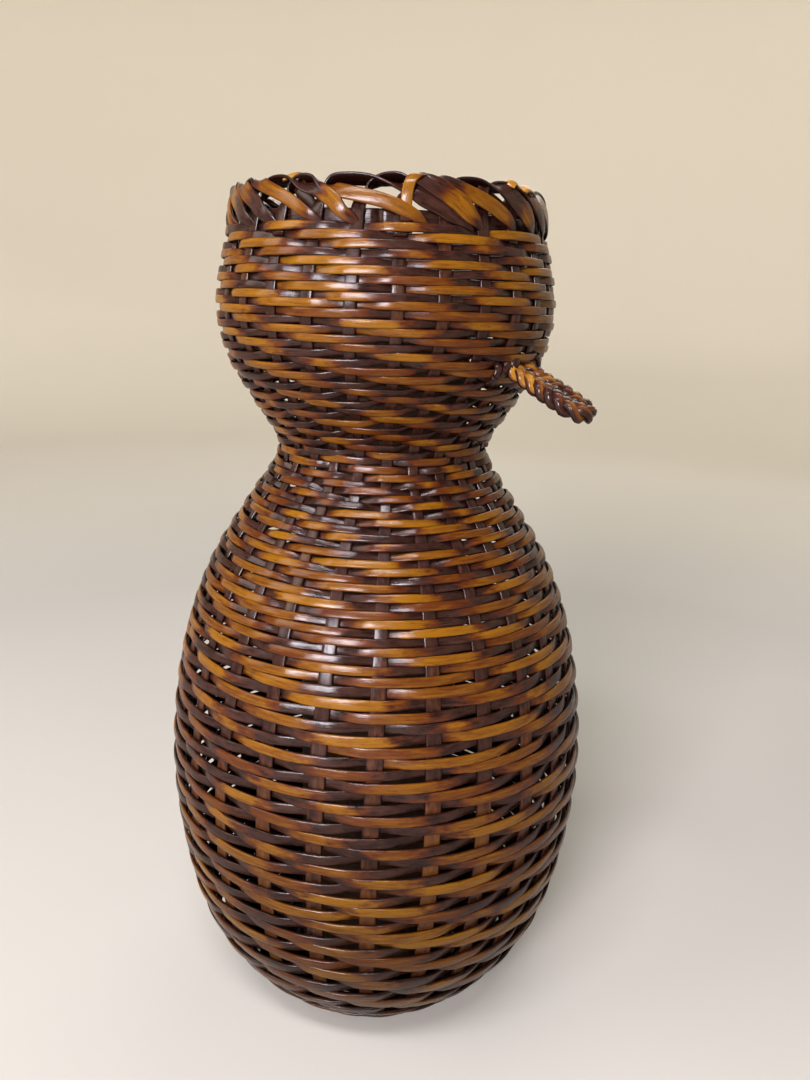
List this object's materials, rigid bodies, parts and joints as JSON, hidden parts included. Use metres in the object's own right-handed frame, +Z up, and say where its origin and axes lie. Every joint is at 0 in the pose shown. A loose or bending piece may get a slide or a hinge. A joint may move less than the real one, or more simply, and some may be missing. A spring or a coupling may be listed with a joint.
{
  "type": "woven gourd-shaped flower basket",
  "caption": "Gourd-shaped woven bamboo basket with a tied-in waist, folded rim, plaited hanging loop and a lift-out water tube.",
  "frame": {"origin": "middle of the underside, where the basket stands", "axes": "+Z up through the mouth; -Y is the side seen in front; the hanging loop points towards +X and slightly -Y"},
  "size_m": [0.1584, 0.1584, 0.3],
  "materials": {
    "lacquered_weft": "gloss",
    "lacquered_stake": "gloss",
    "lacquered_fold": "gloss",
    "lacquered_plait": "gloss",
    "dark_culm": "satin"
  },
  "bodies": {
    "basket": {"base_cross": "lacquered_stake", "base_weave": "lacquered_weft", "weft_foot": "lacquered_weft", "weft_belly": "lacquered_weft", "weft_shoulder": "lacquered_weft", "weft_neck": "lacquered_weft", "weft_bulb": "lacquered_weft", "weft_collar": "lacquered_weft", "stakes": "lacquered_stake", "rim_folds": "lacquered_fold", "rim_top": "lacquered_fold", "hanging_loop": "lacquered_plait", "loop_roots": "lacquered_plait"},
    "tube": {"water_tube": "dark_culm"}
  },
  "joints": [
    {"name": "tube_lift", "type": "slide", "parent": "basket", "child": "tube", "axis": [0, 0, 1], "range_m": [0, 0.31]}
  ]
}
